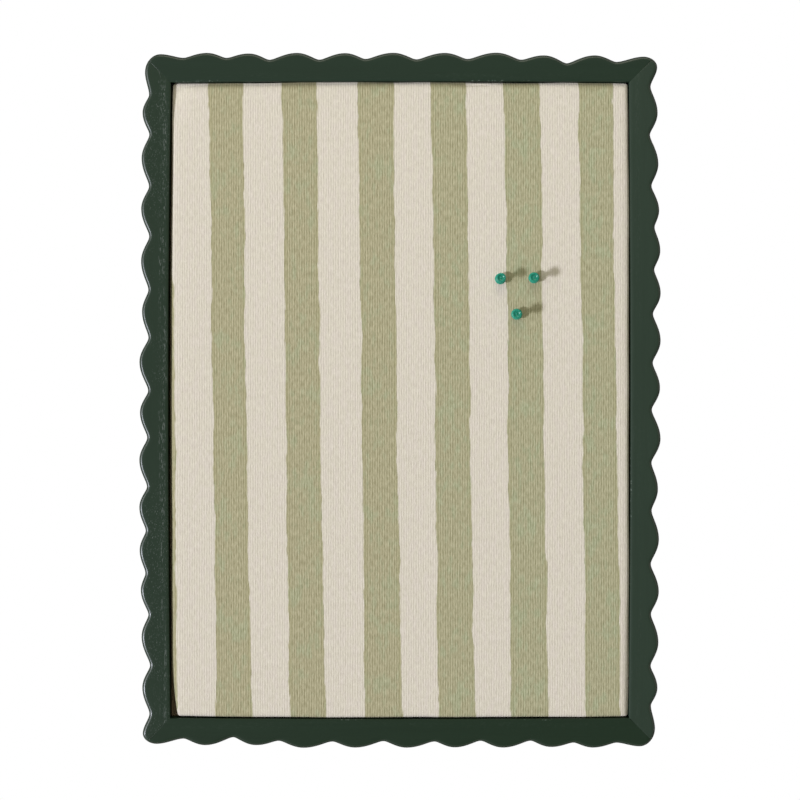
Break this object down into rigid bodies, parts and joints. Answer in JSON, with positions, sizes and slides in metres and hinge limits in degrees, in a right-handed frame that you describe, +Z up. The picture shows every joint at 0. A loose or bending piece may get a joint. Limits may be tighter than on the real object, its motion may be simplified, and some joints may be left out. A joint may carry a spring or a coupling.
{
  "type": "pin board",
  "caption": "Wall-hung pin board: a scalloped, mitred wooden frame round a padded, striped fabric panel, with push pins, turn buttons and ring hangers at the back.",
  "frame": {"origin": "centre of the board's outline, on the face of the wall that it hangs against", "axes": "+X to the right as seen from the front, +Z up, and the front faces -Y, so +Y points into the wall"},
  "size_m": [0.45, 0.0383, 0.6],
  "materials": {
    "painted_wood": "dark green satin paint over fine-grained wood",
    "striped_fabric": "ribbed cotton, cream with hand-printed sage stripes",
    "wadding": "thin white wadding",
    "softboard": "pressed wood-fibre softboard",
    "hardboard": "smooth brown hardboard",
    "fastener_steel": "zinc-plated steel",
    "needle_steel": "polished steel",
    "pin_plastic": "moulded teal plastic, slightly translucent",
    "rubber": "matt black rubber"
  },
  "bodies": {
    "board": {"rail_top": "painted_wood", "rail_bottom": "painted_wood", "stile_left": "painted_wood", "stile_right": "painted_wood", "v_nail_1": "fastener_steel", "v_nail_2": "fastener_steel", "v_nail_3": "fastener_steel", "v_nail_4": "fastener_steel", "v_nail_5": "fastener_steel", "v_nail_6": "fastener_steel", "v_nail_7": "fastener_steel", "v_nail_8": "fastener_steel", "backing_board": "hardboard", "core_board": "softboard", "wadding": "wadding", "fabric_cover": "striped_fabric", "turn_button_screw_1": "fastener_steel", "turn_button_screw_2": "fastener_steel", "turn_button_screw_3": "fastener_steel", "turn_button_screw_4": "fastener_steel", "turn_button_screw_5": "fastener_steel", "turn_button_screw_6": "fastener_steel", "hanger_plate_left": "fastener_steel", "hanger_plate_right": "fastener_steel", "hanger_screw_left": "fastener_steel", "hanger_screw_right": "fastener_steel", "bumper_left": "rubber", "bumper_right": "rubber"},
    "pin_1": {"pin_1_head": "pin_plastic", "pin_1_needle": "needle_steel"},
    "pin_2": {"pin_2_head": "pin_plastic", "pin_2_needle": "needle_steel"},
    "pin_3": {"pin_3_head": "pin_plastic", "pin_3_needle": "needle_steel"},
    "button_1": {"turn_button_1": "fastener_steel"},
    "button_2": {"turn_button_2": "fastener_steel"},
    "button_3": {"turn_button_3": "fastener_steel"},
    "button_4": {"turn_button_4": "fastener_steel"},
    "button_5": {"turn_button_5": "fastener_steel"},
    "button_6": {"turn_button_6": "fastener_steel"},
    "ring_left": {"hanger_ring_left": "fastener_steel"},
    "ring_right": {"hanger_ring_right": "fastener_steel"}
  },
  "joints": [
    {"name": "pin_1_slide", "type": "slide", "parent": "board", "child": "pin_1", "axis": [0, -0.9997, 0.0262], "range_m": [-0.0042, 0.008]},
    {"name": "pin_2_slide", "type": "slide", "parent": "board", "child": "pin_2", "axis": [-0.0523, -0.9985, -0.0174], "range_m": [-0.0042, 0.008]},
    {"name": "pin_3_slide", "type": "slide", "parent": "board", "child": "pin_3", "axis": [-0.0436, -0.9989, -0.0174], "range_m": [-0.0042, 0.008]},
    {"name": "button_1_swivel", "type": "hinge", "parent": "board", "child": "button_1", "pos_m": [-0.2095, -0.0048, 0.2196], "axis": [0, 1, 0], "continuous": true},
    {"name": "button_2_swivel", "type": "hinge", "parent": "board", "child": "button_2", "pos_m": [-0.2095, -0.0048, 0], "axis": [0, 1, 0], "continuous": true},
    {"name": "button_3_swivel", "type": "hinge", "parent": "board", "child": "button_3", "pos_m": [-0.2095, -0.0048, -0.2196], "axis": [0, 1, 0], "continuous": true},
    {"name": "button_4_swivel", "type": "hinge", "parent": "board", "child": "button_4", "pos_m": [0.2095, -0.0048, 0.2196], "axis": [0, 1, 0], "continuous": true},
    {"name": "button_5_swivel", "type": "hinge", "parent": "board", "child": "button_5", "pos_m": [0.2095, -0.0048, 0], "axis": [0, 1, 0], "continuous": true},
    {"name": "button_6_swivel", "type": "hinge", "parent": "board", "child": "button_6", "pos_m": [0.2095, -0.0048, -0.2196], "axis": [0, 1, 0], "continuous": true},
    {"name": "ring_left_swing", "type": "hinge", "parent": "board", "child": "ring_left", "pos_m": [-0.21015, -0.0027, 0.172], "axis": [1, 0, 0], "range_deg": [0, 180]},
    {"name": "ring_right_swing", "type": "hinge", "parent": "board", "child": "ring_right", "pos_m": [0.21015, -0.0027, 0.172], "axis": [1, 0, 0], "range_deg": [0, 180]}
  ]
}
